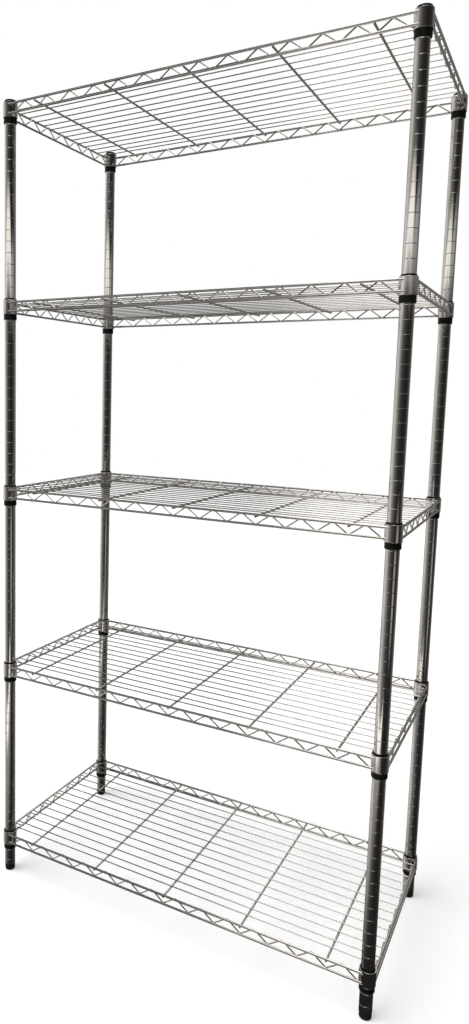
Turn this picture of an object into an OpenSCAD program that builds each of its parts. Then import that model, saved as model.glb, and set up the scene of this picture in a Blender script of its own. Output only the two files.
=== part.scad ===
// Five-shelf wire shelving unit on four grooved posts. All sizes are in millimetres.
// X runs along the shelves, Y from the front to the back, and Z up from the floor.
// Shelf 1 is the lowest. Each shelf is described from the lower edge of its sleeves.

/* [Layout] */
// Distance between post centres along the shelf
post_span_x = 874; // [640:2:1100]
// Distance between post centres from front to back
post_span_y = 428; // [320:4:560]
// Number of post grooves from one shelf to the next
grooves_per_shelf = 17; // [10:1:17]
// Post length below the lowest sleeve
post_below_sleeve = 41; // [34:1:80]
// Post length above the lower edge of the top sleeve
post_above_sleeve = 49; // [49:0.2:90]

/* [Posts] */
// Outside diameter of the post tube
post_d = 25.4; // [24:0.2:27]
// Wall of the post tube
post_wall = 1.4; // [1.1:0.1:2]
// Distance between two grooves
groove_pitch = 25.4; // [24:0.2:27]
// Depth of a groove
groove_depth = 0.35; // [0.3:0.05:0.8]
// Width of a groove at the surface
groove_w = 1.6; // [1.2:0.2:4]
// Height of the cap above the post
cap_h = 2.8; // [2:0.2:6]
// Height of the cap's rounded top
cap_dome = 1.7; // [1:0.1:2]
// Length of the inserts and connectors pressed into the posts
plug_len = 20; // [12:1:30]
// Length of the cap's hollow plug
cap_plug_len = 10; // [6:1:20]
// Wall of the cap's hollow plug
cap_wall = 2; // [1.5:0.5:4]
// Diameter of the stud that joins the post halves
joint_stud_d = 10; // [6:0.5:14]

/* [Feet] */
// Diameter of the foot pad
foot_d = 24; // [18:0.5:25]
// Height of the foot pad
foot_h = 12.7; // [10:0.1:20]
// Thickness of the foot insert's flange
insert_flange = 3; // [2:0.5:6]
// Diameter of the levelling stud
stud_d = 8; // [6:0.5:10]
// Length of the levelling stud
stud_len = 46; // [34:1:60]
// Thickness of the pad under the stud
foot_floor = 4; // [3:0.5:6]
// Rounding of the pad's lower edge
foot_round = 3; // [1:0.5:4]
// Bevel of the pad's upper edge
foot_bevel = 1; // [0.5:0.5:3]

/* [Sleeves and collars] */
// Height of a split sleeve
sleeve_h = 48.5; // [45:0.5:49]
// Wall of the sleeve at its lower edge
sleeve_wall_low = 2.2; // [1.8:0.1:3.2]
// Wall of the sleeve at its upper edge
sleeve_wall_high = 1.1; // [0.7:0.1:1.5]
// Height of the sleeve's inner ridge above its lower edge
ridge_z = 23; // [18:1:30]
// Gap between the two halves of a sleeve
sleeve_split = 1; // [0.5:0.1:2]
// Wall of the collar at its lower edge
collar_wall = 1.21; // [1.1:0.1:2.5]
// Height of the collar
collar_h = 32.5; // [30:0.5:35]
// Collar height above the lower edge of the sleeve
collar_z = 13; // [8:0.5:16]

/* [Shelf wires] */
// Diameter of the rim wires
rim_d = 5; // [4:0.5:6]
// Diameter of the bent truss wires
truss_d = 3; // [2:0.5:4]
// Diameter of the cross wires
cross_d = 4.5; // [3.5:0.5:6]
// Diameter of the deck wires
deck_d = 2.5; // [2:0.5:4]
// Distance from the outside of the collars in to the outside of the rim wires
rim_inset = 0.7; // [0.2:0.1:2]
// Height of the upper rim wire above the lower edge of the sleeve
rim_z = 39.5; // [37:0.5:42]
// Distance between the upper and the lower rim wire
rim_gap = 20; // [16:0.5:20]
// Distance between cross wires
cross_pitch = 180; // [120:1:200]
// Least distance from the outermost cross wire to the post centres
cross_edge_room = 40; // [30:1:60]
// Distance from the upper rim wire's centre down to the deck wires' centres
deck_drop = 0.8; // [0:0.1:1]
// Distance between deck wires
deck_pitch = 29.8; // [20:0.2:40]
// Distance from the last evenly spaced deck wire to the outermost one
deck_edge_step = 24; // [16:0.5:26]
// Least distance from the outermost deck wire to the rim
deck_edge_room = 36; // [30:1:50]
// Bends of the truss wire between two cross wires
truss_bends = 3; // [2:1:4]

/* [Hidden] */
$fn = 64;
shelf_count = 5;
taper_steps = 8;
fit_gap = 0.1;
slide_gap = 0.3;
eps = 0.5;

corners = ["front_left", "front_right", "back_left", "back_right"];
corner_side = [[-1, -1], [1, -1], [-1, 1], [1, 1]];
shelf_parts = ["collars", "rim_upper", "rim_lower", "truss_wires", "cross_wires", "deck_wires"];

shelf_pitch = grooves_per_shelf * groove_pitch;
post_z0 = foot_h + slide_gap + insert_flange;
post_len = post_below_sleeve + (shelf_count - 1) * shelf_pitch + post_above_sleeve;
post_half = post_len / 2;
post_r = post_d / 2;
bore_r = post_r - post_wall;
plug_r = bore_r - fit_gap;
first_groove = post_z0 + post_below_sleeve + ridge_z;
groove_end_room = 4;
grooves_below = ceil(post_below_sleeve / groove_pitch) + 1;
grooves_above = (shelf_count - 1) * grooves_per_shelf + ceil(post_above_sleeve / groove_pitch);

sleeve_bore_r = post_r + fit_gap;
sleeve_taper = (sleeve_wall_low - sleeve_wall_high) / sleeve_h;
collar_r = sleeve_r(collar_z) + slide_gap + collar_wall;
ridge_h = groove_w / 2;
half_x = post_span_x / 2;
half_y = post_span_y / 2;
rim_r = rim_d / 2;
rim_out = collar_r - rim_inset - rim_r;
rim_x = half_x + rim_out;
rim_y = half_y + rim_out;
rim_low_z = rim_z - rim_gap;
truss_in = rim_out - rim_r - truss_d;
deck_z = rim_z - deck_drop;
cross_z = deck_z - deck_d / 2 - cross_d / 2;
cross_side = floor((half_x - cross_edge_room) / cross_pitch);
deck_side = floor((rim_y - deck_edge_step - deck_edge_room) / deck_pitch + 0.5);
deck_y = concat([for (i = [1 : deck_side]) (i - 0.5) * deck_pitch],
                [(deck_side - 0.5) * deck_pitch + deck_edge_step]);

chrome = "silver";
bright = "gainsboro";
black = [0.08, 0.08, 0.08];
steel = "lightslategray";

// Height of a shelf's sleeves above the floor
function shelf_z(k) = post_z0 + post_below_sleeve + (k - 1) * shelf_pitch;
// Outside radius of the tapered sleeve at a height above its lower edge
function sleeve_r(z) = sleeve_bore_r + sleeve_wall_low - sleeve_taper * z;
// Heights of the grooves that lie on a stretch of post
function groove_list(z0, z1) = [
    for (i = [-grooves_below : grooves_above])
        let (z = first_groove + i * groove_pitch)
        if (z > z0 + groove_end_room && z < z1 - groove_end_room) z
];
// Wave between 0 and 1 that is 1 at whole values of t
function wave(t) = abs(2 * (t - floor(t)) - 1);

// One copy at each of the four posts
module at_posts() {
    for (s = corner_side) translate([s[0] * half_x, s[1] * half_y, 0]) children();
}

// Tube with rolled grooves, between two heights
module post(c, z0, z1) {
    s = corner_side[c];
    color(chrome) translate([s[0] * half_x, s[1] * half_y, 0])
        rotate_extrude() polygon(concat(
            [[bore_r, z0], [post_r, z0]],
            [for (z = groove_list(z0, z1))
                for (p = [[0, -groove_w / 2], [-groove_depth, -groove_w / 4],
                          [-groove_depth, groove_w / 4], [0, groove_w / 2]])
                    [post_r + p[0], z + p[1]]],
            [[post_r, z1], [bore_r, z1]]
        ));
}

module post_lower(c) { post(c, post_z0, post_z0 + post_half); }

module post_upper(c) { post(c, post_z0 + post_half, post_z0 + post_len); }

// Threaded stud in the lower half and the nut pressed into the upper half
module post_connectors() {
    color(steel) at_posts() translate([0, 0, post_z0 + post_half]) {
        union() {
            translate([0, 0, -plug_len]) cylinder(r = plug_r, h = plug_len - fit_gap);
            translate([0, 0, -eps]) cylinder(d = joint_stud_d, h = plug_len + eps);
        }
        difference() {
            translate([0, 0, fit_gap]) cylinder(r = plug_r, h = plug_len);
            translate([0, 0, -eps]) cylinder(d = joint_stud_d + 2 * fit_gap, h = plug_len + 2 * eps);
        }
    }
}

// Shallow domed cap with a hollow plug
module post_caps() {
    edge_h = cap_h - cap_dome;
    color(black) at_posts() translate([0, 0, post_z0 + post_len]) rotate_extrude() polygon(concat(
        [[0, 0], [plug_r - cap_wall, 0], [plug_r - cap_wall, -cap_plug_len],
         [plug_r, -cap_plug_len], [plug_r, 0], [post_r, 0], [post_r, edge_h]],
        [for (a = [15 : 15 : 90]) [post_r * cos(a), edge_h + cap_dome * sin(a)]]
    ));
}

// Flanged insert in the lower end of each post, with the stud's thread through it
module foot_inserts() {
    bore = stud_d + 2 * slide_gap;
    color(black) at_posts() difference() {
        union() {
            translate([0, 0, foot_h + slide_gap]) cylinder(r = post_r, h = insert_flange);
            translate([0, 0, post_z0 - eps]) cylinder(r = plug_r, h = plug_len + eps);
        }
        translate([0, 0, foot_h]) cylinder(d = bore, h = plug_len + insert_flange + 2 * eps);
    }
}

// Round pad with a blind socket for the stud's lower end
module foot_pad(c) {
    s = corner_side[c];
    r = foot_d / 2;
    socket_r = stud_d / 2 + slide_gap;
    color(black) translate([s[0] * half_x, s[1] * half_y, 0]) rotate_extrude() polygon(concat(
        [[0, 0]],
        [for (a = [-90 : 15 : 0]) [r - foot_round + foot_round * cos(a), foot_round + foot_round * sin(a)]],
        [[r, foot_h - foot_bevel], [r - foot_bevel, foot_h], [socket_r, foot_h],
         [socket_r, foot_floor], [0, foot_floor]]
    ));
}

// Levelling stud between the pad and the insert
module foot_stud(c) {
    s = corner_side[c];
    color(steel) translate([s[0] * half_x, s[1] * half_y, foot_floor + fit_gap])
        cylinder(d = stud_d, h = stud_len);
}

// Half of a tapered split sleeve; its ridge sits in a groove of the post
module sleeve_half(k, side) {
    ridge_r = sleeve_bore_r - groove_depth;
    room = 2 * sleeve_r(0);
    color(black) at_posts() translate([0, 0, shelf_z(k)]) difference() {
        rotate_extrude() polygon(concat(
            [[sleeve_bore_r, 0]],
            [for (i = [0 : taper_steps]) let (z = sleeve_h * i / taper_steps) [sleeve_r(z), z]],
            [[sleeve_bore_r, sleeve_h], [sleeve_bore_r, ridge_z + ridge_h / 2],
             [ridge_r, ridge_z + ridge_h / 4], [ridge_r, ridge_z - ridge_h / 4],
             [sleeve_bore_r, ridge_z - ridge_h / 2]]
        ));
        translate([-room, side > 0 ? -room + sleeve_split / 2 : -sleeve_split / 2, -eps])
            cube([2 * room, room, sleeve_h + 2 * eps]);
    }
}

module sleeve_front_half(k) { sleeve_half(k, -1); }

module sleeve_back_half(k) { sleeve_half(k, 1); }

// Corner collar with a tapered bore over the sleeve
module collars(k) {
    low = sleeve_r(collar_z) + slide_gap;
    high = sleeve_r(collar_z + collar_h) + slide_gap;
    color(bright) at_posts() translate([0, 0, shelf_z(k) + collar_z])
        rotate_extrude() polygon([[low, 0], [collar_r, 0], [collar_r, collar_h], [high, collar_h]]);
}

// The outside of the collars, taken out of what is welded on to them
module collar_cuts(k) {
    at_posts() translate([0, 0, shelf_z(k)]) cylinder(r = collar_r, h = 2 * collar_h);
}

// The four straight wires of a rim, from collar to collar
module rim_bars(z) {
    for (s = [-1, 1]) {
        translate([-half_x, s * rim_y, z]) rotate([0, 90, 0]) cylinder(r = rim_r, h = post_span_x);
        translate([s * rim_x, half_y, z]) rotate([90, 0, 0]) cylinder(r = rim_r, h = post_span_y);
    }
}

module rim_upper(k) {
    color(chrome) difference() {
        rim_bars(shelf_z(k) + rim_z);
        collar_cuts(k);
    }
}

module rim_lower(k) {
    color(chrome) difference() {
        rim_bars(shelf_z(k) + rim_low_z);
        collar_cuts(k);
    }
}

// Outline of a zigzag wire that runs from -half to half; high is 1 where a peak lies at 0
module zigzag(half, period, high) {
    rise = atan(2 * rim_gap / period);
    t = truss_d / 2 / cos(rise);
    n = ceil(2 * half / period) - 1;
    u = concat([-half], [for (i = [-n : n]) i * period / 2], [half]);
    level = [for (x = u) rim_low_z + rim_gap * wave(x / period + (high ? 0 : 0.5))];
    last = len(u) - 1;
    linear_extrude(truss_d) polygon(concat(
        [for (i = [0 : last]) [u[i], level[i] + t]],
        [for (i = [last : -1 : 0]) [u[i], level[i] - t]]
    ));
}

// Bent truss wires between the rims, welded to their inner side
module truss_wires(k) {
    color(chrome) difference() {
        for (s = [-1, 1]) {
            translate([0, s * (half_y + truss_in) + (s < 0 ? 0 : truss_d), shelf_z(k)])
                rotate([90, 0, 0]) zigzag(half_x, cross_pitch / truss_bends, false);
            translate([s * (half_x + truss_in) - (s < 0 ? truss_d : 0), 0, shelf_z(k)])
                rotate([90, 0, 90]) zigzag(half_y, 2 * deck_pitch, true);
        }
        collar_cuts(k);
    }
}

// Stout wires from the front rim to the back rim, under the deck wires
module cross_wires(k) {
    color(chrome) difference() {
        for (i = [-cross_side : cross_side])
            translate([i * cross_pitch, rim_y, shelf_z(k) + cross_z])
                rotate([90, 0, 0]) cylinder(d = cross_d, h = 2 * rim_y);
        rim_bars(shelf_z(k) + rim_z);
    }
}

// Thin wires along the shelf, from one end rim to the other
module deck_wires(k) {
    length = 2 * (rim_x - rim_r);
    color(chrome) for (s = [-1, 1]) for (y = deck_y)
        translate([-length / 2, s * y, shelf_z(k) + deck_z])
            rotate([0, 90, 0]) cylinder(d = deck_d, h = length);
}

for (c = [0 : 3]) {
    post_lower(c);
    post_upper(c);
    foot_pad(c);
    foot_stud(c);
}
post_connectors();
post_caps();
foot_inserts();
for (k = [1 : shelf_count]) {
    sleeve_front_half(k);
    sleeve_back_half(k);
    collars(k);
    rim_upper(k);
    rim_lower(k);
    truss_wires(k);
    cross_wires(k);
    deck_wires(k);
}
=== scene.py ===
# %% [markdown]
# # A chrome wire shelving unit
#
# This lesson dresses a free-standing wire shelving unit: four grooved tube posts, five shelves welded from
# steel wire, black split sleeves that hold the shelves up, and levelling feet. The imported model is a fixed
# frame that says where every piece is. Here each piece gets its smooth, round shape and its finish.

# %% Load the frame
import math

import bmesh
import bpy
from mathutils import Matrix, Vector


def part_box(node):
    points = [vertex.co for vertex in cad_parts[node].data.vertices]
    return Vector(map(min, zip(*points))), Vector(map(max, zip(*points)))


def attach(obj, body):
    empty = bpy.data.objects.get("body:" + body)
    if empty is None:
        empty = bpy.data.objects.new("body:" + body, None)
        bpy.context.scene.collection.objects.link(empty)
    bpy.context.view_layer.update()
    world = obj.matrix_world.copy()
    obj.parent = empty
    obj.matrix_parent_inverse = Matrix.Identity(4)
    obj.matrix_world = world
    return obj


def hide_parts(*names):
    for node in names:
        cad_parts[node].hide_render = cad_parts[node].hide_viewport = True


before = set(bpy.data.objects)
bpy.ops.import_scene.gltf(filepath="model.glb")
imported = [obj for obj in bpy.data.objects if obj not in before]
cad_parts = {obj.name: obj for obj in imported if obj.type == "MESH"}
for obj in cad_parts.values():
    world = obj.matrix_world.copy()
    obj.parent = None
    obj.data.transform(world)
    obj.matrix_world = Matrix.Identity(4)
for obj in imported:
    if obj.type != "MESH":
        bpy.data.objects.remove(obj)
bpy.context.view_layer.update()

# %% [markdown]
# ## Where things are
#
# Places come from the frame, so that a change of the model moves the looks with it. The frame's round pieces
# are cut into coarse facets, so radii are given here as real sizes in millimetres. MM turns them into metres.

# %% Places from the frame and sizes of the round stock
MM = 0.001
CORNERS = ["front_left", "front_right", "back_left", "back_right"]
SHELVES = [1, 2, 3, 4, 5]

post_at = {}
for corner in CORNERS:
    low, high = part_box("post_lower_" + corner)
    post_at[corner] = (low + high).xy / 2
half_x = post_at["back_right"].x
half_y = post_at["back_right"].y
shelf_low = {k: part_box(f"sleeve_front_half_{k}")[0].z for k in SHELVES}

post_r = 12.7 * MM
post_wall = 1.4 * MM
groove_pitch = 25.4 * MM
groove_depth = 0.15 * MM
groove_w = 1.3 * MM
ridge_z = 23 * MM

sleeve_h = 48.5 * MM
sleeve_r_low = 15 * MM
sleeve_r_high = 13.9 * MM
collar_z = 13 * MM
collar_h = 32.5 * MM
collar_wall = 1.21 * MM
slide_gap = 0.3 * MM

rim_r = 2.5 * MM
rim_inset = 0.7 * MM
truss_r = 1.5 * MM
cross_r = 2.25 * MM
deck_r = 1.25 * MM


def sleeve_r(height):
    """Outside radius of the tapered sleeve at a height above its lower edge."""
    return sleeve_r_low + (sleeve_r_high - sleeve_r_low) * height / sleeve_h


collar_r = sleeve_r(collar_z) + slide_gap + collar_wall
rim_x = half_x + collar_r - rim_inset - rim_r
rim_y = half_y + collar_r - rim_inset - rim_r
print("post centres:", round(half_x / MM), "by", round(half_y / MM), "mm from the middle")

# %% [markdown]
# ## Sums with shader sockets
#
# A finish is easier to read as a sum than as a web of nodes. The class `Field` holds one output of a node
# and adds Math nodes when Python adds or multiplies it. Every other node comes from the method `add` of
# `Finish`. `new_finish` starts a material with one Principled shader, and `feed` links to it what varies.


# %% A socket that Python can do sums with
class Field:
    """One output of a shader node. Sums with it make Math nodes."""

    def __init__(self, tree, socket):
        self.tree = tree
        self.socket = socket

    def sum(self, operation, first, second):
        return self.tree.add("Math", {"operation": operation}, {0: first, 1: second})

    def __add__(self, other):
        return self.sum("ADD", self, other)

    def __sub__(self, other):
        return self.sum("SUBTRACT", self, other)

    def __rsub__(self, other):
        return self.sum("SUBTRACT", other, self)

    def __mul__(self, other):
        return self.sum("MULTIPLY", self, other)

    def __truediv__(self, other):
        return self.sum("DIVIDE", self, other)


print("sums with sockets ready")

# %% Nodes of a material or of the world
WARM = (1.05, 1.0, 0.93)


def warm(grey):
    """The slightly warm white of the studio's lights and walls, at a brightness."""
    return tuple(grey * part for part in WARM) + (1,)


class Finish:
    """The nodes of one material or of the world."""

    def __init__(self, tree):
        self.nodes = tree.nodes
        self.links = tree.links
        self.nodes.clear()

    def add(self, kind, settings=None, inputs=None, output=0):
        """Adds a node: its type, then its settings, then the values or links of its sockets."""
        node = self.nodes.new("ShaderNode" + kind)
        for name, value in (settings or {}).items():
            if name == "stops":
                self.set_stops(node.color_ramp, value)
            else:
                setattr(node, name, value)
        for name, value in (inputs or {}).items():
            if isinstance(value, Field):
                self.links.new(value.socket, node.inputs[name])
            else:
                node.inputs[name].default_value = value
        return Field(self, node.outputs[output]) if len(node.outputs) else node

    def set_stops(self, ramp, stops):
        while len(ramp.elements) < len(stops):
            ramp.elements.new(1.0)
        for element, (place, grey) in zip(ramp.elements, stops):
            element.position = place
            element.color = warm(grey)

    def mix(self, factor, first, second):
        """A colour between two colours."""
        settings = {"data_type": "RGBA", "clamp_factor": True}
        return self.add("Mix", settings, {0: factor, 6: first, 7: second}, output=2)

    def noise(self, where, scale, detail):
        return self.add("TexNoise", None, {"Vector": where, "Scale": scale, "Detail": detail})

    def stretch(self, where, x, y, z):
        """The place, with each axis scaled, so that a pattern can run along one of them."""
        return self.add("VectorMath", {"operation": "MULTIPLY"}, {0: where, 1: (x, y, z)})

    def between(self, value, low, high, new_low=0.0, new_high=1.0):
        inputs = {"Value": value, "From Min": low, "From Max": high, "To Min": new_low, "To Max": new_high}
        return self.add("MapRange", {"clamp": True}, inputs)


print("warm white:", warm(1.0))


# %% A new finish
def new_finish(name, **constants):
    """A material with one Principled shader. Constants go straight on to its sockets."""
    material = bpy.data.materials.new(name)
    material.use_nodes = True
    finish = Finish(material.node_tree)
    surface = finish.add("BsdfPrincipled").socket.node
    for socket, value in constants.items():
        surface.inputs[socket.replace("_", " ")].default_value = value
    finish.add("OutputMaterial", None, {"Surface": Field(finish, surface.outputs[0])})
    finish.place = finish.add("TexCoord", output=3)
    return material, finish, surface


def feed(finish, surface, **fields):
    """Links what changes over the surface to the shader."""
    for socket, field in fields.items():
        finish.links.new(field.socket, surface.inputs[socket.replace("_", " ")])


print("finish helpers ready")

# %% [markdown]
# ## Finishes
#
# Bright chrome plate is a mirror that gives back about two thirds of the light, nearly grey and here slightly
# warm. It is never perfect: the plate follows the drawn lines of the tube below it, has a faint orange-peel
# waviness, and carries smudges that blur it in patches. Those three are noises of three sizes. The lines and
# waves feed the bump, the lines and smudges the roughness, and the smudges also shade the colour.


# %% Chrome plate
DRAWN_SCALE = 900.0
WAVE_SCALE = 160.0
SMUDGE_SCALE = 22.0
SMUDGE_RANGE = (0.42, 0.68)
DRAWN_SHARE = 0.35
WAVE_SHARE = 0.65
CHROME_BUMP = 0.05
CHROME_BUMP_DEPTH = 0.0004


def chrome(name, bright, dull, grain, rough_low, rough_high):
    material, finish, surface = new_finish(name, Metallic=1.0)
    grain_place = finish.stretch(finish.place, *grain)
    drawn = finish.noise(grain_place, DRAWN_SCALE, 3.0)
    waves = finish.noise(finish.place, WAVE_SCALE, 1.0)
    smudge = finish.between(finish.noise(finish.place, SMUDGE_SCALE, 4.0), *SMUDGE_RANGE)
    height = drawn * DRAWN_SHARE + waves * WAVE_SHARE
    bump_inputs = {"Strength": CHROME_BUMP, "Distance": CHROME_BUMP_DEPTH, "Height": height}
    bump = finish.add("Bump", None, bump_inputs)
    feed(
        finish,
        surface,
        Base_Color=finish.mix(smudge, bright, dull),
        Roughness=finish.between(smudge + drawn * 0.3, 0.0, 1.3, rough_low, rough_high),
        Normal=bump,
    )
    return material


POST_BRIGHT = (0.68, 0.675, 0.665, 1)
POST_DULL = (0.60, 0.595, 0.585, 1)
WIRE_BRIGHT = (0.60, 0.595, 0.59, 1)
WIRE_DULL = (0.51, 0.505, 0.50, 1)
ALONG_Z = (1.0, 1.0, 0.04)
EVEN = (1.0, 1.0, 1.0)

post_chrome = chrome("chrome_post", POST_BRIGHT, POST_DULL, ALONG_Z, 0.05, 0.13)
collar_chrome = chrome("chrome_collar", POST_BRIGHT, POST_DULL, ALONG_Z, 0.04, 0.12)
wire_chrome = chrome("chrome_wire", WIRE_BRIGHT, WIRE_DULL, EVEN, 0.10, 0.20)
print("chrome finishes: 3")

# %% [markdown]
# The sleeves, caps and inserts are injection-moulded black plastic. Its skin is finely eroded, which breaks
# up the highlight, and handling leaves faint grey scuffs. The foot pads are a softer, duller black.


# %% Moulded black plastic
PATCH_SCALE = 60.0
SCUFF_SCALE = 420.0
SCUFF_STRETCH = (1.0, 1.0, 0.2)
SCUFF_RANGE = (0.60, 0.78)
SKIN_BUMP = 0.35
SKIN_BUMP_DEPTH = 0.00015


def moulded(name, black, scuffed, rough_low, rough_high, grain_scale):
    material, finish, surface = new_finish(name, Specular_IOR_Level=0.2)
    skin = finish.noise(finish.place, grain_scale, 3.0)
    patches = finish.noise(finish.place, PATCH_SCALE, 5.0)
    scuff_place = finish.stretch(finish.place, *SCUFF_STRETCH)
    scuffs = finish.between(finish.noise(scuff_place, SCUFF_SCALE, 6.0), *SCUFF_RANGE)
    bump_inputs = {"Strength": SKIN_BUMP, "Distance": SKIN_BUMP_DEPTH, "Height": skin}
    bump = finish.add("Bump", None, bump_inputs)
    feed(
        finish,
        surface,
        Base_Color=finish.mix(scuffs * 0.5, black, scuffed),
        Roughness=finish.between(patches + scuffs * 0.4, 0.3, 0.9, rough_low, rough_high),
        Normal=bump,
    )
    return material


SLEEVE_COLOURS = ((0.0036, 0.003, 0.0025, 1), (0.015, 0.014, 0.013, 1))
CAP_COLOURS = ((0.010, 0.009, 0.008, 1), (0.045, 0.043, 0.040, 1))
FOOT_COLOURS = ((0.012, 0.011, 0.010, 1), (0.05, 0.048, 0.046, 1))

sleeve_black = moulded("black_sleeve", *SLEEVE_COLOURS, 0.36, 0.52, 2600.0)
cap_black = moulded("black_plastic", *CAP_COLOURS, 0.30, 0.48, 2200.0)
foot_black = moulded("black_foot", *FOOT_COLOURS, 0.55, 0.78, 1800.0)
print("moulded finishes: 3")

# %% [markdown]
# The levelling studs and the connectors inside the posts are zinc plated: a pale, slightly blue metal with
# small crystals in it that make it blotchy.

# %% Zinc plate
CRYSTAL_SCALE = 700.0
BLOTCH_SCALE = 90.0
ZINC_DARK = (0.52, 0.54, 0.57, 1)
ZINC_LIGHT = (0.66, 0.67, 0.68, 1)

zinc, zinc_finish, zinc_surface = new_finish("zinc_steel", Metallic=1.0)
crystal_inputs = {"Vector": zinc_finish.place, "Scale": CRYSTAL_SCALE}
crystals = zinc_finish.add("TexVoronoi", None, crystal_inputs, output=1)
crystal_tone = zinc_finish.add("SeparateColor", None, {"Color": crystals})
blotches = zinc_finish.noise(zinc_finish.place, BLOTCH_SCALE, 3.0)
zinc_bump = zinc_finish.add("Bump", None, {"Strength": 0.1, "Distance": 0.0001, "Height": blotches})
feed(
    zinc_finish,
    zinc_surface,
    Base_Color=zinc_finish.mix(blotches, ZINC_DARK, ZINC_LIGHT),
    Roughness=zinc_finish.between(crystal_tone * 0.5 + blotches * 0.5, 0.0, 1.0, 0.24, 0.42),
    Normal=zinc_bump,
)
print("zinc finish: 1")

# %% [markdown]
# ## Shapes
#
# Almost every piece is either turned, as on a lathe, or a wire of one thickness. So two helpers make nearly
# all of the meshes: `turned` spins an outline round an upright axis, and `wire` sweeps a circle along a line.
# Both return plain lists of corners and faces, which `Shape` gathers into one mesh per piece.


# %% Gather faces into a piece
SHARP_DEGREES = 38


class Shape:
    """Corners and faces that become the mesh of one piece."""

    def __init__(self):
        self.corners = []
        self.faces = []

    def add(self, solid, at=(0.0, 0.0, 0.0)):
        corners, faces = solid
        first = len(self.corners)
        move = Vector(at)
        self.corners += [Vector(corner) + move for corner in corners]
        self.faces += [tuple(first + i for i in face) for face in faces]

    def piece(self, name, material, body, slot, *nodes):
        """Makes the object, turns its faces outwards, hangs it under its body and hides the frame's parts
        that it stands for.
        """
        mesh = bpy.data.meshes.new(name)
        mesh.from_pydata(self.corners, [], self.faces)
        work = bmesh.new()
        work.from_mesh(mesh)
        bmesh.ops.recalc_face_normals(work, faces=work.faces)
        work.to_mesh(mesh)
        work.free()
        mesh.shade_smooth()
        mesh.set_sharp_from_angle(angle=math.radians(SHARP_DEGREES))
        mesh.materials.append(material)
        made = bpy.data.objects.new(name, mesh)
        bpy.context.scene.collection.objects.link(made)
        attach(made, body)
        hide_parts(*nodes)
        return made


print("pieces get a sharp edge from", SHARP_DEGREES, "degrees")

# %% Turned on a lathe
ROUND_STEPS = 56


def turned(outline, steps, start=0.0, sweep=360.0):
    """Spins a closed outline of (radius, height) points. Less than a full turn gets flat ends."""
    full = sweep >= 360.0
    count = steps if full else steps + 1
    angles = [math.radians(start + sweep * i / steps) for i in range(count)]
    corners = []
    rings = []
    for radius, height in outline:
        first = len(corners)
        if radius == 0:
            corners.append((0.0, 0.0, height))
            rings.append([first] * count)
        else:
            corners += [(radius * math.cos(a), radius * math.sin(a), height) for a in angles]
            rings.append(list(range(first, first + count)))
    faces = []
    for i, ring in enumerate(rings):
        above = rings[(i + 1) % len(rings)]
        for j in range(steps):
            k = (j + 1) % count
            face = tuple(dict.fromkeys((ring[j], ring[k], above[k], above[j])))
            if len(face) > 2:
                faces.append(face)
    if not full:
        faces.append(tuple(ring[0] for ring in rings))
        faces.append(tuple(ring[-1] for ring in reversed(rings)))
    return corners, faces


print("steps round a turned piece:", ROUND_STEPS)

# %% Rounded corners of an outline
STRAIGHT_DEGREES = 84


def rounded(outline, radius, steps=3):
    """Rounds every corner of a closed outline by a small arc.

    Long sides get a point just before and after each arc, so that smooth shading keeps them straight."""
    points = [Vector(p) for p in outline]
    count = len(points)
    reaches = []
    for i, corner in enumerate(points):
        half_angle = (points[i - 1] - corner).angle(points[(i + 1) % count] - corner) / 2
        plain = corner.x == 0 or half_angle > math.radians(STRAIGHT_DEGREES)
        reaches.append(0.0 if plain else radius / math.tan(half_angle))
    smooth = []
    for i, corner in enumerate(points):
        to_before = points[i - 1] - corner
        to_after = points[(i + 1) % count] - corner
        before = to_before.normalized()
        after = to_after.normalized()
        reach = reaches[i]
        if to_before.length > reach + reaches[i - 1] + radius:
            smooth.append(corner + before * (reach + radius / 3))
        if reach == 0:
            smooth.append(corner)
        else:
            half_angle = before.angle(after) / 2
            middle = corner + (before + after).normalized() * (radius / math.sin(half_angle))
            first = corner + before * reach - middle
            last = corner + after * reach - middle
            for step in range(steps + 1):
                smooth.append(middle + first.slerp(last, step / steps) * radius)
        if to_after.length > reach + reaches[(i + 1) % count] + radius:
            smooth.append(corner + after * (reach + radius / 3))
    return [(p.x, p.y) for p in smooth]


print("rounding helper ready")

# %% A wire along a line
RIM_SIDES = 20
CROSS_SIDES = 16
THIN_SIDES = 12


def wire(line, radius, sides, collars=()):
    """Sweeps a circle along a line of points. Where an end meets a collar it is cut to the collar's round.

    collars gives, for the first and the last end, the collar's centre or None for a plain end."""
    points = [Vector(p) for p in line]
    corners = []
    rings = []
    for i, point in enumerate(points):
        back = (point - points[i - 1]).normalized() if i else None
        ahead = (points[i + 1] - point).normalized() if i + 1 < len(points) else None
        along = (back or ahead) + (ahead or back)
        along.normalize()
        across = along.cross(Vector((0, 0, 1))).normalized()
        rise = across.cross(along)
        straight = (back or ahead).dot(along)
        ring = []
        for j in range(sides):
            turn = 2 * math.pi * j / sides
            offset = across * math.cos(turn) + rise * (math.sin(turn) / straight)
            ring.append(point + offset * radius)
        rings.append(ring)
    for end, collar in enumerate(collars):
        if collar is not None:
            near, next_one = (0, 1) if end == 0 else (-1, -2)
            inwards = (points[next_one] - points[near]).normalized()
            rings[near] = [cut_to_collar(p, inwards, collar) for p in rings[near]]
    for ring in rings:
        corners += ring
    faces = []
    for i in range(len(rings) - 1):
        for j in range(sides):
            k = (j + 1) % sides
            faces.append((i * sides + j, i * sides + k, (i + 1) * sides + k, (i + 1) * sides + j))
    last = len(corners) - sides
    faces.append(tuple(range(sides)))
    faces.append(tuple(last + j for j in range(sides)))
    return corners, faces


weld_depth = 0.4 * MM


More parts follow.
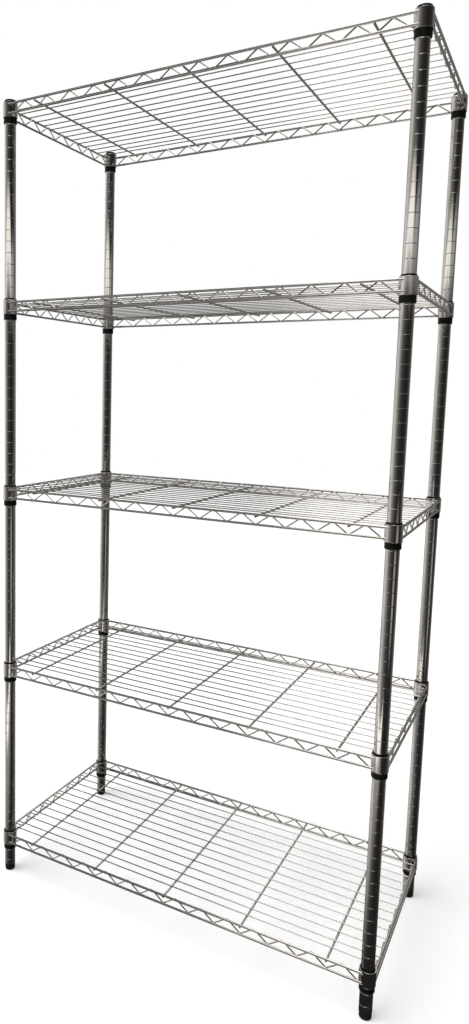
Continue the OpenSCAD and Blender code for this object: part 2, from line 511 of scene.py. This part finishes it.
def cut_to_collar(point, inwards, collar):
    """Slides a point along its wire to just inside the wall of a collar."""
    radius = collar_r - weld_depth
    away = point.xy - collar
    flat = inwards.xy
    a = flat.length_squared
    b = away.dot(flat)
    c = away.length_squared - radius * radius
    return point + inwards * ((math.sqrt(max(b * b - a * c, 0.0)) - b) / a)


print("sides of a rim, cross and thin wire:", RIM_SIDES, CROSS_SIDES, THIN_SIDES)

# %% [markdown]
# ## Posts
#
# A post is a drawn steel tube in two halves. Rollers press a shallow groove into it every 25.4 mm, and the
# sleeves clip into those grooves. A cosine gives the groove its soft shoulders. The photograph hardly shows
# the rings, so they are drawn shallower and narrower here than in the solids.


# %% Post halves
def groove_heights(low, high):
    """Heights of the grooves between two heights, counted from the lowest sleeve's ridge."""
    first = shelf_low[1] + ridge_z
    count = math.ceil((high - low) / groove_pitch) * 2
    heights = [first + i * groove_pitch for i in range(-count, count * 2)]
    room = 4 * MM
    return [z for z in heights if low + room < z < high - room]


def post_outline(low, high):
    edge = 0.3 * MM
    outline = [(post_r - post_wall, low), (post_r - edge, low), (post_r, low + edge)]
    outline.append((post_r, low + 2 * edge))
    steps = 8
    for middle in groove_heights(low, high):
        outline.append((post_r, middle - groove_w / 2 - edge))
        for step in range(steps + 1):
            t = step / steps * 2 - 1
            dip = groove_depth * (0.5 + 0.5 * math.cos(math.pi * t))
            outline.append((post_r - dip, middle + t * groove_w / 2))
        outline.append((post_r, middle + groove_w / 2 + edge))
    outline += [(post_r, high - 2 * edge), (post_r, high - edge), (post_r - edge, high)]
    outline.append((post_r - post_wall, high))
    return outline


for corner in CORNERS:
    for half in ("lower", "upper"):
        node = f"post_{half}_{corner}"
        low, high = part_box(node)
        shape = Shape()
        shape.add(turned(post_outline(low.z, high.z), ROUND_STEPS), (*post_at[corner], 0.0))
        shape.piece(node + "_tube", post_chrome, "posts", "chrome_post", node)
print("post halves: 8")

# %% [markdown]
# The caps are shallow domes. A fine step runs round the edge where the cap sits on the tube, and the dome
# has a small dimple in the middle, left by the mould.

# %% Post caps
cap_low, cap_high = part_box("post_caps")
post_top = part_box("post_upper_front_left")[1].z
cap_h = cap_high.z - post_top
plug_r = post_r - post_wall - 0.1 * MM
plug_wall = 2 * MM
cap_edge_h = 1.1 * MM
dimple_r = 1.6 * MM
dimple_depth = 0.35 * MM
cap_lip = 0.2 * MM
cap_lip_h = 0.25 * MM


def cap_outline():
    top = post_top + cap_h
    outline = [(0.0, post_top), (plug_r - plug_wall, post_top), (plug_r - plug_wall, cap_low.z)]
    outline += [(plug_r, cap_low.z), (plug_r, post_top), (post_r - cap_lip, post_top)]
    outline += [(post_r, post_top + cap_lip_h)]
    for degrees in range(0, 81, 8):
        a = math.radians(degrees)
        outline.append((post_r * math.cos(a), post_top + cap_edge_h + (cap_h - cap_edge_h) * math.sin(a)))
    outline += [(dimple_r, top), (dimple_r * 0.8, top - dimple_depth), (0.0, top - dimple_depth)]
    return outline


caps = Shape()
for corner in CORNERS:
    caps.add(turned(cap_outline(), ROUND_STEPS), (*post_at[corner], 0.0))
caps.piece("post_caps_domes", cap_black, "posts", "black_plastic", "post_caps")
print("caps:", len(CORNERS))

# %% [markdown]
# ## Feet
#
# A flanged plastic insert closes the post's lower end and holds the nut for the levelling stud. The pad
# below it is a squat, rounded puck with shallow flutes, so that fingers can turn it.

# %% Inserts and pads
insert_low, insert_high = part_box("foot_inserts")
post_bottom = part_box("post_lower_front_left")[0].z
stud_r = 4 * MM
stud_bore_r = stud_r + slide_gap
pad_r = 12 * MM
pad_floor = 4 * MM
pad_round = 3 * MM
pad_edge = 1 * MM
flutes = 20
flute_depth = 0.45 * MM
flute_low = 2.5 * MM
flute_steps = 8
insert_round = 0.25 * MM


def insert_outline():
    outline = [(stud_bore_r, insert_low.z), (post_r, insert_low.z), (post_r, post_bottom)]
    outline += [(plug_r, post_bottom), (plug_r, insert_high.z), (stud_bore_r, insert_high.z)]
    return rounded(outline, insert_round)


def pad_outline(top):
    outline = [(0.0, 0.0)]
    for degrees in range(-90, 1, 15):
        a = math.radians(degrees)
        outline.append((pad_r - pad_round + pad_round * math.cos(a), pad_round + pad_round * math.sin(a)))
    outline += [(pad_r, top - pad_edge * 1.6), (pad_r - pad_edge * 0.3, top - pad_edge * 0.5)]
    outline += [(pad_r - pad_edge, top), (stud_bore_r, top), (stud_bore_r, pad_floor), (0.0, pad_floor)]
    return outline


def fluted(solid, low, high):
    """Presses shallow flutes into the side of a turned solid between two heights."""
    corners, faces = solid
    pressed = []
    for x, y, z in corners:
        radius = math.hypot(x, y)
        if low < z < high and radius > pad_r - pad_edge / 2:
            angle = math.atan2(y, x)
            dip = flute_depth * max(0.0, math.cos(flutes * angle)) ** 2
            x, y = x * (1 - dip / radius), y * (1 - dip / radius)
        pressed.append((x, y, z))
    return pressed, faces


inserts = Shape()
for corner in CORNERS:
    inserts.add(turned(insert_outline(), ROUND_STEPS), (*post_at[corner], 0.0))
    pad_node = "foot_pad_" + corner
    pad = Shape()
    pad_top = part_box(pad_node)[1].z
    puck = turned(pad_outline(pad_top), flutes * flute_steps)
    pad.add(fluted(puck, flute_low, pad_top), (*post_at[corner], 0.0))
    pad.piece(pad_node + "_puck", foot_black, "pad_" + corner, "black_foot", pad_node)
inserts.piece("foot_inserts_plugs", cap_black, "posts", "black_plastic", "foot_inserts")
print("foot pads:", len(CORNERS))

# %% [markdown]
# The levelling stud is an M8 screw with a 1.25 mm pitch. Its thread is one ridge that climbs as it goes
# round. On a lathe mesh that needs no helix: the radius of each corner depends on its height minus its
# share of a turn, and the ridge falls into place.

# %% Levelling studs
thread_pitch = 1.25 * MM
thread_depth = 0.6 * MM
thread_blunt = 0.35


def threaded(radius, low, high):
    sides = 24
    rings_per_turn = 6
    rows = int((high - low) / thread_pitch * rings_per_turn)
    corners = []
    faces = []
    for i in range(rows + 1):
        z = low + (high - low) * i / rows
        from_end = min(high - z, z - low)
        taper = min(1.0, from_end / (2 * thread_pitch) + thread_blunt)
        for j in range(sides):
            phase = ((z - low) / thread_pitch - j / sides) % 1.0
            depth = thread_depth * (1 - abs(2 * phase - 1)) * taper + (1 - taper) * thread_depth
            a = 2 * math.pi * j / sides
            corners.append(((radius - depth) * math.cos(a), (radius - depth) * math.sin(a), z))
    for i in range(rows):
        for j in range(sides):
            k = (j + 1) % sides
            faces.append((i * sides + j, i * sides + k, (i + 1) * sides + k, (i + 1) * sides + j))
    faces.append(tuple(range(sides)))
    faces.append(tuple(rows * sides + j for j in range(sides)))
    return corners, faces


for corner in CORNERS:
    node = "foot_stud_" + corner
    low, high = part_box(node)
    stud = Shape()
    stud.add(threaded(stud_r, low.z, high.z), (*post_at[corner], 0.0))
    stud.piece(node + "_screw", zinc, "stud_" + corner, "zinc_steel", node)
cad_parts["post_connectors"].data.materials.clear()
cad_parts["post_connectors"].data.materials.append(zinc)
print("levelling studs:", len(CORNERS))

# %% [markdown]
# ## Split sleeves
#
# Two half shells of black plastic close round the post, with a ridge inside that sits in one groove. They
# taper upwards, so the shelf's collar slides down over them and wedges tight. Only the lower edge shows
# below the collar, and a thin rim above it. The slit between the halves faces the shelf's ends.

# %% Sleeve halves
split = 1 * MM
split_degrees = math.degrees(math.asin(split / 2 / post_r))
ridge_h = groove_w / 2
sleeve_gap = 0.1 * MM
sleeve_round = 0.12 * MM


def sleeve_outline(base):
    inner = post_r + sleeve_gap
    ridge = inner - groove_depth
    line_z = 2.2 * MM
    line_w = 0.5 * MM
    line_depth = 0.25 * MM
    lead = 1.4 * MM
    lead_in = lead * 0.7
    lead_out = 0.02 * MM
    outline = [(inner, base), (sleeve_r(0.0) - lead_in, base), (sleeve_r(lead) + lead_out, base + lead)]
    outline += [(sleeve_r(line_z), base + line_z), (sleeve_r(line_z) - line_depth, base + line_z + line_w)]
    outline += [(sleeve_r(line_z), base + line_z + 2 * line_w)]
    outline += [(sleeve_r(sleeve_h), base + sleeve_h), (inner, base + sleeve_h)]
    outline += [(inner, base + ridge_z + ridge_h / 2), (ridge, base + ridge_z + ridge_h / 4)]
    outline += [(ridge, base + ridge_z - ridge_h / 4), (inner, base + ridge_z - ridge_h / 2)]
    return rounded(outline, sleeve_round, 2)


for k in SHELVES:
    for side, start in (("front", 180.0), ("back", 0.0)):
        node = f"sleeve_{side}_half_{k}"
        halves = Shape()
        outline = sleeve_outline(shelf_low[k])
        half = turned(outline, ROUND_STEPS // 2, start + split_degrees, 180.0 - 2 * split_degrees)
        for corner in CORNERS:
            halves.add(half, (*post_at[corner], 0.0))
        halves.piece(node + "_shells", sleeve_black, "posts", "black_sleeve", node)
print("sleeve halves:", 2 * len(SHELVES) * len(CORNERS))

# %% [markdown]
# ## Collars
#
# A collar is a short steel ring with a tapered bore. The rim and truss wires are welded to its outside. Here
# their ends sink a little way into its wall, and the beads of those welds are left out.


# %% Collars
collar_round = 0.45 * MM


def collar_outline(base):
    low = base + collar_z
    bore_low = sleeve_r(collar_z) + slide_gap
    bore_high = sleeve_r(collar_z + collar_h) + slide_gap
    outline = [(bore_low, low), (collar_r, low), (collar_r, low + collar_h), (bore_high, low + collar_h)]
    return rounded(outline, collar_round)


for k in SHELVES:
    collars = Shape()
    for corner in CORNERS:
        collars.add(turned(collar_outline(shelf_low[k]), ROUND_STEPS), (*post_at[corner], 0.0))
    collars.piece(f"collars_{k}_rings", collar_chrome, f"shelf_{k}", "chrome_collar", f"collars_{k}")
print("collars:", len(SHELVES) * len(CORNERS))

# %% [markdown]
# ## Rims
#
# Each side of a shelf has an upper and a lower rim wire, which run past the posts on the outside and end
# against the collars. The rims are the stoutest wires, because they carry the shelf's edge.

# %% Rim wires
rim_high_z = (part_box("rim_upper_1")[0].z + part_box("rim_upper_1")[1].z) / 2 - shelf_low[1]
rim_low_z = (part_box("rim_lower_1")[0].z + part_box("rim_lower_1")[1].z) / 2 - shelf_low[1]
rim_gap = rim_high_z - rim_low_z


def side_lines(height, out_x, out_y):
    """The four sides of a shelf as lines from post to post, with the collars that they end on."""
    fl, fr, bl, br = (post_at[corner] for corner in CORNERS)
    return [
        ((-half_x, -out_y, height), (half_x, -out_y, height), (fl, fr)),
        ((-half_x, out_y, height), (half_x, out_y, height), (bl, br)),
        ((-out_x, -half_y, height), (-out_x, half_y, height), (fl, bl)),
        ((out_x, -half_y, height), (out_x, half_y, height), (fr, br)),
    ]


for k in SHELVES:
    for name, height in (("rim_upper", rim_high_z), ("rim_lower", rim_low_z)):
        rims = Shape()
        for start, end, collars in side_lines(shelf_low[k] + height, rim_x, rim_y):
            rims.add(wire((start, end), rim_r, RIM_SIDES, collars))
        rims.piece(f"{name}_{k}_wires", wire_chrome, f"shelf_{k}", "chrome_wire", f"{name}_{k}")
print("rim wires:", 2 * 4 * len(SHELVES))

# %% [markdown]
# ## Trusses
#
# A bent wire zigzags between the two rims on their inner side and makes a truss of them, which keeps a long
# shelf from sagging. Its bends are arcs, drawn a little beyond the corner points so that their tops still
# reach the rim's height.

# %% Truss wires
cross_pitch = 180 * MM
deck_pitch = 29.8 * MM
bends_per_bay = 3
bend_r = 4.5 * MM
truss_in = rim_r + truss_r


def arc_corner(before, corner, after, radius, steps=5):
    """Replaces a corner of a line by an arc."""
    to_before = (before - corner).normalized()
    to_after = (after - corner).normalized()
    half_angle = to_before.angle(to_after) / 2
    reach = radius / math.tan(half_angle)
    middle = corner + (to_before + to_after).normalized() * (radius / math.sin(half_angle))
    first = corner + to_before * reach - middle
    last = corner + to_after * reach - middle
    return [middle + first.slerp(last, step / steps) * radius for step in range(steps + 1)]


def zigzag(half, period, peak_in_middle):
    """Points (along, up) of a bent truss wire, measured from the lower rim's height."""
    slope = math.atan(2 * rim_gap / period)
    beyond = bend_r * (1 / math.cos(slope) - 1)
    reach = half - collar_r - bend_r
    count = math.floor(reach / (period / 2)) + 1
    corners = []
    for i in range(-count, count + 1):
        is_peak = (i % 2 == 0) == peak_in_middle
        corners.append(Vector((i * period / 2, rim_gap + beyond if is_peak else -beyond)))
    line = [corners[0]]
    for before, corner, after in zip(corners, corners[1:], corners[2:]):
        line += arc_corner(before, corner, after, bend_r)
    return line + [corners[-1]]


for k in SHELVES:
    base = shelf_low[k] + rim_low_z
    trusses = Shape()
    long_line = zigzag(half_x, cross_pitch / bends_per_bay, False)
    short_line = zigzag(half_y, 2 * deck_pitch, True)
    fl, fr, bl, br = (post_at[corner] for corner in CORNERS)
    for y, ends in ((-rim_y + truss_in, (fl, fr)), (rim_y - truss_in, (bl, br))):
        trusses.add(wire([(p.x, y, base + p.y) for p in long_line], truss_r, THIN_SIDES, ends))
    for x, ends in ((-rim_x + truss_in, (fl, bl)), (rim_x - truss_in, (fr, br))):
        trusses.add(wire([(x, p.x, base + p.y) for p in short_line], truss_r, THIN_SIDES, ends))
    trusses.piece(f"truss_wires_{k}_bent", wire_chrome, f"shelf_{k}", "chrome_wire", f"truss_wires_{k}")
print("truss wires:", 4 * len(SHELVES))

# %% [markdown]
# ## Deck
#
# Stout cross wires join the front and back rims, and the thin deck wires lie over them from end to end.
# Every crossing is a spot weld: the wires are pressed into each other and a little metal squeezes out. A
# small flattened bead at each crossing stands for it.

# %% Cross and deck wires
deck_z = (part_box("deck_wires_1")[0].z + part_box("deck_wires_1")[1].z) / 2 - shelf_low[1]
cross_z = (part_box("cross_wires_1")[0].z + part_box("cross_wires_1")[1].z) / 2 - shelf_low[1]
deck_steps = [0.5, 1.5, 2.5, 3.5, 4.5, 5.5]
deck_edge_step = 24 * MM
deck_y = [step * deck_pitch for step in deck_steps]
deck_y.append(deck_y[-1] + deck_edge_step)
cross_x = [i * cross_pitch for i in (-2, -1, 0, 1, 2)]
deck_sink = 0.5 * MM
cross_bead = (1.9 * MM, 1.7 * MM, 0.9 * MM)
deck_bead = (1.5 * MM, 1.35 * MM, 0.7 * MM)
BEAD_SIDES = 10


def bead(wide, deep, high):
    """A flattened ball of weld metal."""
    steps = 6
    outline = [(0.0, -high)]
    for i in range(1, steps):
        a = math.pi * i / steps - math.pi / 2
        outline.append((math.cos(a), high * math.sin(a)))
    outline.append((0.0, high))
    corners, faces = turned(outline, BEAD_SIDES)
    return [(x * wide, y * deep, z) for x, y, z in corners], faces


for k in SHELVES:
    cross = Shape()
    for x in cross_x:
        z = shelf_low[k] + cross_z
        cross.add(wire([(x, -rim_y, z), (x, rim_y, z)], cross_r, CROSS_SIDES))
        for y in (-rim_y, rim_y):
            cross.add(bead(*cross_bead), (x, y, z + cross_r))
    cross.piece(f"cross_wires_{k}_rods", wire_chrome, f"shelf_{k}", "chrome_wire", f"cross_wires_{k}")

    deck = Shape()
    end = rim_x - rim_r + deck_sink
    for y in [side * y for y in deck_y for side in (-1, 1)]:
        z = shelf_low[k] + deck_z
        deck.add(wire([(-end, y, z), (end, y, z)], deck_r, THIN_SIDES))
        for x in cross_x:
            deck.add(bead(*deck_bead), (x, y, z - deck_r))
    deck.piece(f"deck_wires_{k}_rods", wire_chrome, f"shelf_{k}", "chrome_wire", f"deck_wires_{k}")
print("cross wires:", len(cross_x) * len(SHELVES), "deck wires:", 2 * len(deck_y) * len(SHELVES))

# %% [markdown]
# ## Studio
#
# The unit stands on a pale floor in front of white. Chrome shows nothing but its surroundings, so they are
# the real work here. The camera comes first, fitted to the edges of the posts and sleeves in the photograph.

# %% Camera
IMAGE_W = 469
IMAGE_H = 1024
FOCAL_PX = 767.92
CENTRE_PX = (118.0, 482.1)
camera_at = Vector((0.7085, -1.6318, 1.1922))
camera_yaw = 0.53924
camera_pitch = 0.11687
camera_roll = 0.0167


def camera_axes():
    """Right, up and forward of the camera."""
    ahead = Vector((
        -math.sin(camera_yaw) * math.cos(camera_pitch),
        math.cos(camera_yaw) * math.cos(camera_pitch),
        -math.sin(camera_pitch),
    ))
    level = Vector((math.cos(camera_yaw), math.sin(camera_yaw), 0.0))
    top = level.cross(ahead)
    right = level * math.cos(camera_roll) + top * math.sin(camera_roll)
    up = top * math.cos(camera_roll) - level * math.sin(camera_roll)
    return right, up, ahead


camera_data = bpy.data.cameras.new("photo_camera")
camera = bpy.data.objects.new("photo_camera", camera_data)
bpy.context.scene.collection.objects.link(camera)
right, up, ahead = camera_axes()
turn = Matrix((right, up, -ahead)).transposed().to_4x4()
camera.matrix_world = Matrix.Translation(camera_at) @ turn
camera_data.sensor_width = 36.0
camera_data.lens = FOCAL_PX / IMAGE_H * camera_data.sensor_width
camera_data.shift_x = (IMAGE_W / 2 - CENTRE_PX[0]) / IMAGE_H
camera_data.shift_y = (CENTRE_PX[1] - IMAGE_H / 2) / IMAGE_H
bpy.context.scene.camera = camera
shift = (round(camera_data.shift_x, 3), round(camera_data.shift_y, 3))
print("lens:", round(camera_data.lens, 2), "mm, shift:", *shift)

# %% [markdown]
# The world is what mirror rays meet: a room that is light on the left and dark in front and on the right.
# That dark part is the black core of every post in the photograph. Its brightness is listed by bearing, in
# degrees round from the unit's front, and it is slightly warm, as the photographed chrome is. Behind the
# unit it is grey and not white, because the photographed chrome shows no white backdrop.

# %% The room by bearing
world = bpy.data.worlds.new("studio")
bpy.context.scene.world = world
world.use_nodes = True
studio = Finish(world.node_tree)
direction = studio.add("TexCoord", output=0)
sideways = studio.add("SeparateXYZ", None, {0: direction}, output=0)
backwards = studio.add("SeparateXYZ", None, {0: direction}, output=1)
climb = studio.add("SeparateXYZ", None, {0: direction}, output=2)
bearing = studio.add("Math", {"operation": "ARCTAN2"}, {0: sideways, 1: 0 - backwards}) * (180 / math.pi)

# Degrees round from the unit's front, to the right, and how bright the room is there
ROOM = [
    (-180, 0.15),
    (-156, 0.24),
    (-130, 0.52),
    (-106, 0.76),
    (-84, 0.78),
    (-60, 0.46),
    (-36, 0.22),
    (-12, 0.085),
    (12, 0.045),
    (40, 0.024),
    (64, 0.018),
    (86, 0.026),
    (102, 0.040),
    (118, 0.075),
    (134, 0.16),
    (152, 0.22),
    (180, 0.15),
]
stops = [(degrees / 360 + 0.5, grey) for degrees, grey in ROOM]
mirror_view = studio.add("ValToRGB", {"stops": stops}, {0: bearing / 360 + 0.5})
print("bearings in the room:", len(ROOM))

# %% [markdown]
# Above and below, the room gets a ceiling, a dark floor, a long light over the unit and the strip of floor
# that it lights, both from front to back. A bright wall stands high at the back, and a weak panel low at the
# right. Each pair of numbers says where a light starts to show and where it is full, as the height of a
# direction from -1 to 1, or as its reach to the side or the back.

# %% Lights in the room
ceiling_climb = (0.46, 0.62)
dark_floor_climb = (-0.46, -0.60)
overhead_climb = (0.56, 0.68)
overhead_aside = (0.33, 0.27)
lit_floor_climb = (-0.70, -0.80)
lit_floor_aside = (0.36, 0.28)
back_wall_back = (0.70, 0.76)
back_wall_climb = (0.40, 0.50)
back_wall_side = (0.30, 0.20)
ceiling_grey = 0.09
dark_floor_grey = 0.02
overhead_bright = 2.2
lit_floor_bright = 1.1
back_wall_bright = 1.0

aside = studio.add("Math", {"operation": "ABSOLUTE"}, {0: sideways})
mirror_view = studio.mix(studio.between(climb, *ceiling_climb), mirror_view, warm(ceiling_grey))
mirror_view = studio.mix(studio.between(climb, *dark_floor_climb), mirror_view, warm(dark_floor_grey))
overhead = studio.between(climb, *overhead_climb) * studio.between(aside, *overhead_aside)
mirror_view = studio.mix(overhead, mirror_view, warm(overhead_bright))
lit_floor = studio.between(climb, *lit_floor_climb) * studio.between(aside, *lit_floor_aside)
mirror_view = studio.mix(lit_floor, mirror_view, warm(lit_floor_bright))
back_wall = studio.between(backwards, *back_wall_back) * studio.between(climb, *back_wall_climb)
back_wall = back_wall * studio.between(sideways, *back_wall_side)
mirror_view = studio.mix(back_wall, mirror_view, warm(back_wall_bright))

panel_middle = 58
panel_half = 14
panel_low = -0.300
panel_high = -0.150
panel_edge = 0.03
panel_bright = 0.40
off = studio.add("Math", {"operation": "ABSOLUTE"}, {0: bearing - panel_middle})
inside = studio.between(off, panel_half * 1.3, panel_half * 0.6)
above = studio.between(climb, panel_low - panel_edge, panel_low + panel_edge)
below = studio.between(climb, panel_high + panel_edge, panel_high - panel_edge)
mirror_view = studio.mix(inside * above * below, mirror_view, warm(panel_bright))
print("lights in the room: overhead, lit floor, back wall, panel")

# %% [markdown]
# Only mirror rays see the room. The camera sees white, and all other rays see an even soft grey, so that
# colours render as they are written.

# %% What each kind of ray sees
SOFT_LIGHT = (0.45, 0.45, 0.45, 1)
seen_by_camera = studio.add("LightPath", output=0)
seen_in_gloss = studio.add("LightPath", output=3)
light = studio.mix(seen_in_gloss, SOFT_LIGHT, mirror_view)
light = studio.mix(seen_by_camera, light, (1, 1, 1, 1))
background = studio.add("Background", None, {"Color": light})
studio.add("OutputWorld", None, {"Surface": background})
print("world:", world.name)

# %% [markdown]
# One soft lamp from above, left and in front gives the feet faint shadows. The floor is white paper that
# glows a little for the camera, so that it melts into the white behind it. Mirror rays don't see it, because
# the room has a floor of its own for them.

# %% Lamp and floor
lamp_data = bpy.data.lights.new("soft_key", "SUN")
lamp_data.energy = 2.1
lamp_data.angle = math.radians(50)
lamp = bpy.data.objects.new("soft_key", lamp_data)
bpy.context.scene.collection.objects.link(lamp)
lamp_from = Vector((-0.5, -0.45, 1.0))
lamp.rotation_mode = "QUATERNION"
lamp.rotation_quaternion = lamp_from.to_track_quat("Z", "Y")
lamp.visible_glossy = False

half_floor = 7.0
floor_shape = bpy.data.meshes.new("floor")
floor_corners = [
    (-half_floor, -half_floor, 0),
    (half_floor, -half_floor, 0),
    (half_floor, half_floor, 0),
    (-half_floor, half_floor, 0),
]
floor_shape.from_pydata(floor_corners, [], [(0, 1, 2, 3)])
floor = bpy.data.objects.new("floor", floor_shape)
bpy.context.scene.collection.objects.link(floor)
floor_material = bpy.data.materials.new("floor_white")
floor_material.use_nodes = True
paper = Finish(floor_material.node_tree)
paper_camera = paper.add("LightPath", output=0)
PAPER_WHITE = (0.86, 0.86, 0.86, 1)
paper_inputs = {"Base Color": PAPER_WHITE, "Roughness": 0.9, "Specular IOR Level": 0.0}
paper_surface = paper.add("BsdfPrincipled", None, paper_inputs)
paper_glow = 0.27
glow = paper.add("Emission", None, {"Color": (1, 1, 1, 1), "Strength": paper_camera * paper_glow})
both = paper.add("AddShader", None, {0: paper_surface, 1: glow})
paper.add("OutputMaterial", None, {"Surface": both})
floor_shape.materials.append(floor_material)
floor.visible_glossy = False
bpy.context.scene.view_settings.view_transform = "Standard"
print("floor:", 2 * half_floor, "m wide")

# %% [markdown]
# Two lights stand so near the unit that their real distance shows: each post mirrors them at another height.
# So they are sheets in the scene and not parts of the world. Only mirror rays see them. A sheet glows where
# its cover is 1 and lets rays through where it is 0, which gives it soft edges.


# %% Sheets of light
def light_card(name, material_name, corners, faces):
    """Makes a sheet that only mirror rays see, and gives it with the nodes of its material."""
    mesh = bpy.data.meshes.new(name)
    mesh.from_pydata(corners, [], faces)
    card = bpy.data.objects.new(name, mesh)
    bpy.context.scene.collection.objects.link(card)
    material = bpy.data.materials.new(material_name)
    material.use_nodes = True
    mesh.materials.append(material)
    card.visible_camera = False
    card.visible_diffuse = False
    card.visible_shadow = False
    return card, Finish(material.node_tree)


def shine_through(card_light, cover, strength):
    """Makes the sheet glow where it is covered and clear elsewhere."""
    shine = card_light.add("Emission", None, {"Color": WARM + (1,), "Strength": strength})
    clear = card_light.add("BsdfTransparent")
    surface = card_light.add("MixShader", None, {0: cover, 1: clear, 2: shine})
    card_light.add("OutputMaterial", None, {"Surface": surface})


print("sheets of light ready")

# %% [markdown]
# A strip of floor in front of the unit is lit, from the far left to near the camera. It gives the posts light
# patches lower down.

# %% A strip of light on the floor
strip_start = Vector((-1.20, -0.78, 0.003))
strip_end = Vector((0.66, -1.78, 0.003))
strip_half = (strip_end - strip_start).length / 2
strip_outer = 0.28
strip_inner = 0.75
strip_end_fade = 0.2
outer_full = -0.10
inner_full = 0.35
core_edge = (0.26, 0.08)
strip_glow = 0.33
strip_corners = [
    (-strip_half, -strip_outer, 0),
    (strip_half, -strip_outer, 0),
    (strip_half, strip_inner, 0),
    (-strip_half, strip_inner, 0),
]
strip, strip_light = light_card("lit_strip", "strip_light", strip_corners, [(0, 1, 2, 3)])
strip.location = (strip_start + strip_end) / 2
strip.rotation_euler.z = math.atan2(strip_end.y - strip_start.y, strip_end.x - strip_start.x)
strip_place = strip_light.add("TexCoord", output=3)
strip_along = strip_light.add("SeparateXYZ", None, {0: strip_place}, 0)
strip_across = strip_light.add("SeparateXYZ", None, {0: strip_place}, 1)
off_line = strip_light.add("Math", {"operation": "ABSOLUTE"}, {0: strip_across})
off_middle = strip_light.add("Math", {"operation": "ABSOLUTE"}, {0: strip_along})
core = strip_light.between(off_line, *core_edge)
cover = strip_light.between(off_middle, strip_half, strip_half - strip_end_fade)
cover = cover * strip_light.between(strip_across, -strip_outer, outer_full)
cover = cover * strip_light.between(strip_across, strip_inner, inner_full)
shine_through(strip_light, cover, core + strip_glow)
print("lit strip:", round(2 * strip_half, 2), "m long")

# %% [markdown]
# A window behind the camera, which goes on round the corner to the right, gives each post its bright band.
# Because the window is near, the bands have slanted edges and lie at another height on each post, as in the
# photograph. The part behind the camera is the brightest.

# %% A window behind the camera
window_y = -2.15
window_x = 2.5
window_left = -3.6
window_left_y = -1.7
window_back = 1.5
window_low = 1.58
window_high = 2.15

# Where the window's soft edges are full, and how bright it is
low_full = 1.82
high_full = 1.97
left_full = -2.8
back_full = 0.4
main_full = 1.1
main_bright = 0.75
window_glow = 0.42
window_corners = [
    (window_left, window_left_y, window_low),
    (window_x, window_y, window_low),
    (window_x, window_y, window_high),
    (window_left, window_left_y, window_high),
    (window_x, window_back, window_low),
    (window_x, window_back, window_high),
]
window_faces = [(0, 1, 2, 3), (1, 4, 5, 2)]
window, window_light = light_card("window_wall", "window_light", window_corners, window_faces)
window_place = window_light.add("TexCoord", output=3)
window_across = window_light.add("SeparateXYZ", None, {0: window_place}, 0)
window_along = window_light.add("SeparateXYZ", None, {0: window_place}, 1)
window_height = window_light.add("SeparateXYZ", None, {0: window_place}, 2)
pane = window_light.between(window_height, window_low, low_full)
pane = pane * window_light.between(window_height, window_high, high_full)
pane = pane * window_light.between(window_across, window_left, left_full)
pane = pane * window_light.between(window_along, window_back, back_full)
main_pane = window_light.between(window_across, window_x, main_full)
shine_through(window_light, pane, main_pane * main_bright + window_glow)
print("window:", window_low, "to", window_high, "m high")
